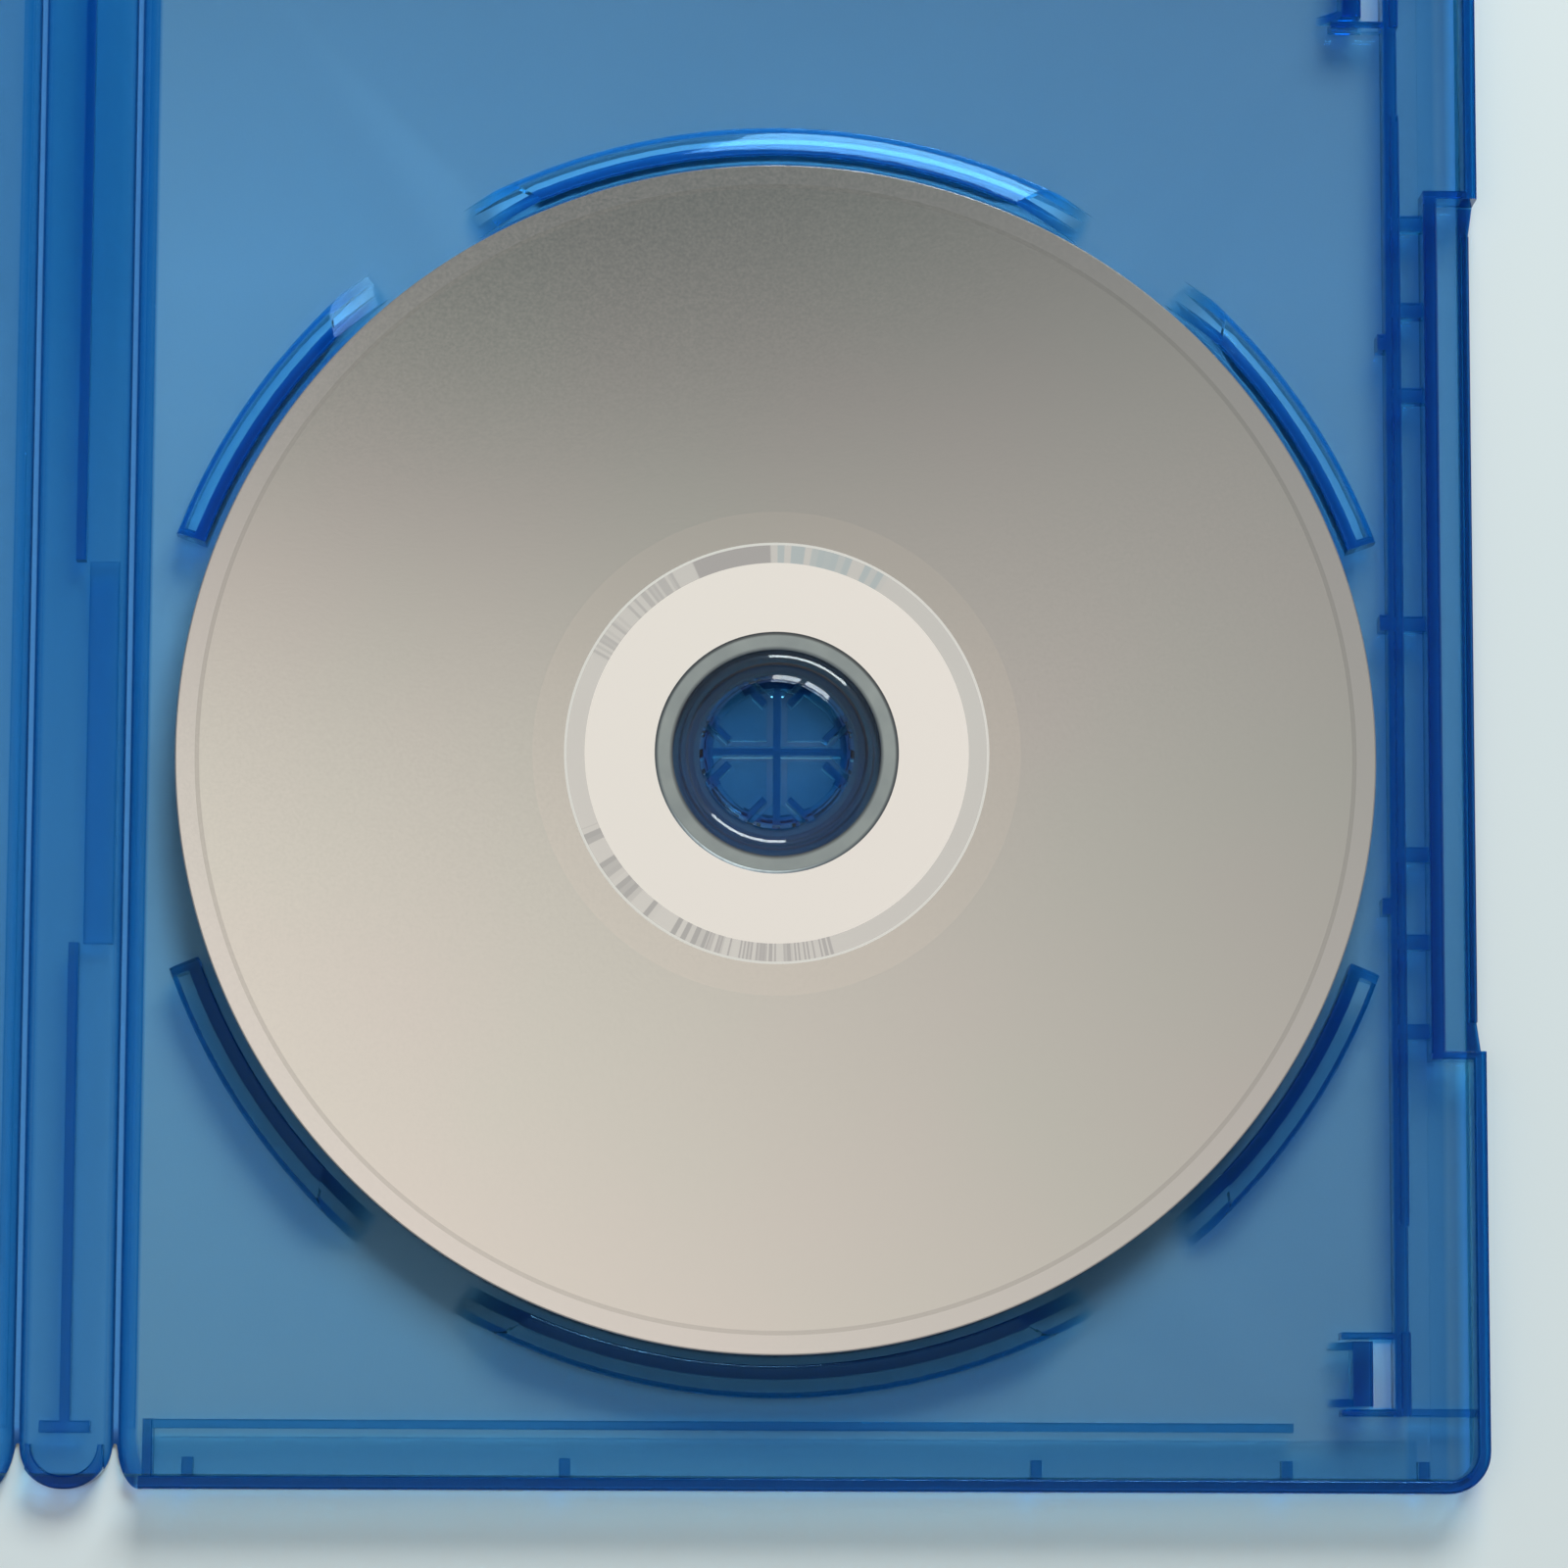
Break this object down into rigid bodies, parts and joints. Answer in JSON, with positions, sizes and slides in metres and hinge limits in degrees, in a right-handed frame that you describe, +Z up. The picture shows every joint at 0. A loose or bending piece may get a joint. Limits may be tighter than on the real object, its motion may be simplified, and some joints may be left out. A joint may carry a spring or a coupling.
{
  "type": "hinged disc case",
  "caption": "Flat moulded case lying open, with a spine between two living hinges and a tray whose hub holds a disc.",
  "frame": {"origin": "middle of the spine on the surface that the open case lies on", "axes": "+X from the spine to the tray's opening edge, +Y up the case, +Z up out of the open case"},
  "size_m": [0.2812, 0.1714, 0.0072],
  "materials": {
    "blue_plastic": "translucent blue polypropylene, smooth moulded surface",
    "disc_plastic": "clear polycarbonate over a pale reflecting layer, clear at the centre",
    "paper": "white coated paper, printed outside in plain fields of colour",
    "clear_film": "clear polypropylene film"
  },
  "bodies": {
    "tray": {"tray_shell": "blue_plastic", "disc": "disc_plastic", "title_sheet_tray": "paper", "sleeve_tray": "clear_film"},
    "spine": {"spine": "blue_plastic", "tray_hinge": "blue_plastic", "cover_hinge": "blue_plastic", "title_sheet_spine": "paper", "sleeve_spine": "clear_film"},
    "cover": {"cover_shell": "blue_plastic", "title_sheet_cover": "paper", "sleeve_cover": "clear_film"}
  },
  "joints": [
    {"name": "spine_hinge", "type": "hinge", "parent": "tray", "child": "spine", "pos_m": [0.00488, 0, 0.00065], "axis": [0, 1, 0], "range_deg": [0, 90]},
    {"name": "cover_hinge", "type": "hinge", "parent": "spine", "child": "cover", "pos_m": [-0.00488, 0, 0.00065], "axis": [0, 1, 0], "range_deg": [0, 90]}
  ]
}
